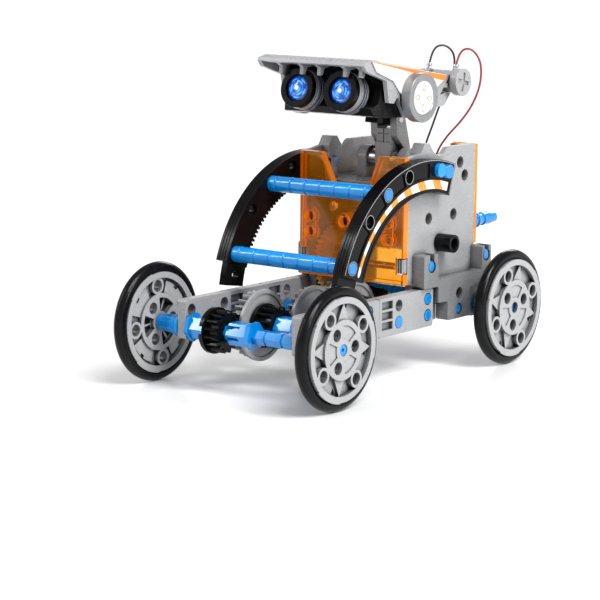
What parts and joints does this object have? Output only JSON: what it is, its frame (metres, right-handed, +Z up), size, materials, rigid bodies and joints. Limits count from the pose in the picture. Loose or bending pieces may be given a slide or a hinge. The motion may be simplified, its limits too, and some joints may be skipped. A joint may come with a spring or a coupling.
{
  "type": "solar robot kit",
  "caption": "Four-wheeled toy robot with a tilting solar head, translucent body covers, curved struts, open gear train and pegged rails.",
  "frame": {"origin": "on the ground under the middle of the robot, midway between its two axles", "axes": "+Z up, -Y the way the robot faces, +X the robot's left side"},
  "size_m": [0.1006, 0.1759, 0.1374],
  "materials": {
    "grey_plastic": "moulded ABS, satin",
    "dark_grey_plastic": "moulded ABS, satin",
    "blue_plastic": "moulded acetal, semi-gloss",
    "orange_clear": "translucent polystyrene, polished",
    "black_plastic": "moulded ABS, semi-gloss",
    "tyre_rubber": "smooth rubber ring",
    "steel": "drawn steel",
    "white_plastic": "printed white plastic",
    "amber_plastic": "natural acetal",
    "brass": "turned",
    "silver_trim": "silver-painted plastic",
    "eye_blue": "tinted lens",
    "solar_cells": "cells under clear resin",
    "wire_black": "stranded wire in PVC sleeve",
    "wire_red": "stranded wire in PVC sleeve"
  },
  "bodies": {
    "chassis": {"rails_front": "grey_plastic", "rails_rear": "grey_plastic", "rail_pegs": "blue_plastic", "brackets": "dark_grey_plastic", "bracket_pegs": "blue_plastic", "side_plate_left": "grey_plastic", "side_plate_right": "grey_plastic", "front_cover": "orange_clear", "rear_cover": "orange_clear", "body_deck": "grey_plastic", "arch_left": "black_plastic", "arch_right": "black_plastic", "cross_bars": "blue_plastic", "arch_pegs": "blue_plastic", "side_bushes": "black_plastic", "motor": "steel", "motor_end_cap": "white_plastic", "neck_pivot_pin": "steel"},
    "front_axle_set": {"front_axle": "blue_plastic", "axle_pinion": "black_plastic", "hex_bushes": "blue_plastic", "front_hubs": "grey_plastic", "front_tyres": "tyre_rubber", "front_hub_bushes": "blue_plastic"},
    "layshaft_1_set": {"layshaft_1": "blue_plastic", "gear_1": "grey_plastic", "pinion_1": "black_plastic", "layshaft_bush": "blue_plastic"},
    "layshaft_2_set": {"layshaft_2": "blue_plastic", "gears_2": "grey_plastic"},
    "layshaft_3_set": {"layshaft_3": "blue_plastic", "gear_3": "grey_plastic", "pinion_3": "black_plastic"},
    "layshaft_4_set": {"layshaft_4": "blue_plastic", "gear_4": "grey_plastic", "pinion_4": "black_plastic"},
    "compound_set": {"compound_gear": "amber_plastic", "compound_shaft": "steel"},
    "motor_rotor": {"motor_pinion": "brass"},
    "rear_axle_set": {"rear_axle": "blue_plastic", "rear_hubs": "grey_plastic", "rear_tyres": "tyre_rubber", "rear_hub_bushes": "blue_plastic"},
    "rear_drive": {"rear_shaft": "blue_plastic"},
    "neck": {"neck_link": "grey_plastic", "head_hinge_pin": "steel", "black_wire": "wire_black", "red_wire": "wire_red"},
    "head": {"visor": "grey_plastic", "solar_panel": "solar_cells", "cheek_panels": "white_plastic", "jaw": "black_plastic", "eye_barrels": "black_plastic", "eye_rings": "silver_trim", "eye_lenses": "eye_blue", "ear_rings": "silver_trim", "ear_faces": "white_plastic", "terminal_bar": "grey_plastic", "drum_caps": "grey_plastic", "terminal_posts": "steel"}
  },
  "joints": [
    {"name": "front_axle_spin", "type": "hinge", "parent": "chassis", "child": "front_axle_set", "pos_m": [0, -0.0619, 0.025], "axis": [1, 0, 0], "continuous": true},
    {"name": "layshaft_1_spin", "type": "hinge", "parent": "chassis", "child": "layshaft_1_set", "pos_m": [0, -0.0409, 0.025], "axis": [1, 0, 0], "continuous": true},
    {"name": "layshaft_2_spin", "type": "hinge", "parent": "chassis", "child": "layshaft_2_set", "pos_m": [0, -0.0199, 0.025], "axis": [1, 0, 0], "continuous": true},
    {"name": "layshaft_3_spin", "type": "hinge", "parent": "chassis", "child": "layshaft_3_set", "pos_m": [0, 0.0011, 0.025], "axis": [1, 0, 0], "continuous": true},
    {"name": "layshaft_4_spin", "type": "hinge", "parent": "chassis", "child": "layshaft_4_set", "pos_m": [0, 0.0221, 0.025], "axis": [1, 0, 0], "continuous": true},
    {"name": "compound_spin", "type": "hinge", "parent": "chassis", "child": "compound_set", "pos_m": [0, 0.0281, 0.04303], "axis": [1, 0, 0], "continuous": true},
    {"name": "motor_spin", "type": "hinge", "parent": "chassis", "child": "motor_rotor", "pos_m": [0, 0.0373, 0.05896], "axis": [1, 0, 0], "continuous": true},
    {"name": "rear_axle_spin", "type": "hinge", "parent": "chassis", "child": "rear_axle_set", "pos_m": [0, 0.0619, 0.025], "axis": [1, 0, 0], "continuous": true},
    {"name": "rear_drive_spin", "type": "hinge", "parent": "chassis", "child": "rear_drive", "pos_m": [0.0206, 0.07, 0.0592], "axis": [0, 1, 0], "continuous": true},
    {"name": "neck_tilt", "type": "hinge", "parent": "chassis", "child": "neck", "pos_m": [0, 0.0365, 0.0882], "axis": [1, 0, 0], "range_deg": [-10, 10]},
    {"name": "head_tilt", "type": "hinge", "parent": "neck", "child": "head", "pos_m": [0, 0.036, 0.1055], "axis": [1, 0, 0], "range_deg": [-12, 15], "deforming": ["black_wire", "red_wire"]}
  ],
  "couplings": [
    {"joint": "layshaft_1_spin", "follows": "front_axle_spin", "ratio": -0.61538},
    {"joint": "layshaft_2_spin", "follows": "front_axle_spin", "ratio": 0.3787},
    {"joint": "layshaft_3_spin", "follows": "front_axle_spin", "ratio": -0.61538},
    {"joint": "layshaft_4_spin", "follows": "front_axle_spin", "ratio": 1},
    {"joint": "compound_spin", "follows": "front_axle_spin", "ratio": -2.1667},
    {"joint": "motor_spin", "follows": "front_axle_spin", "ratio": 7.8}
  ]
}
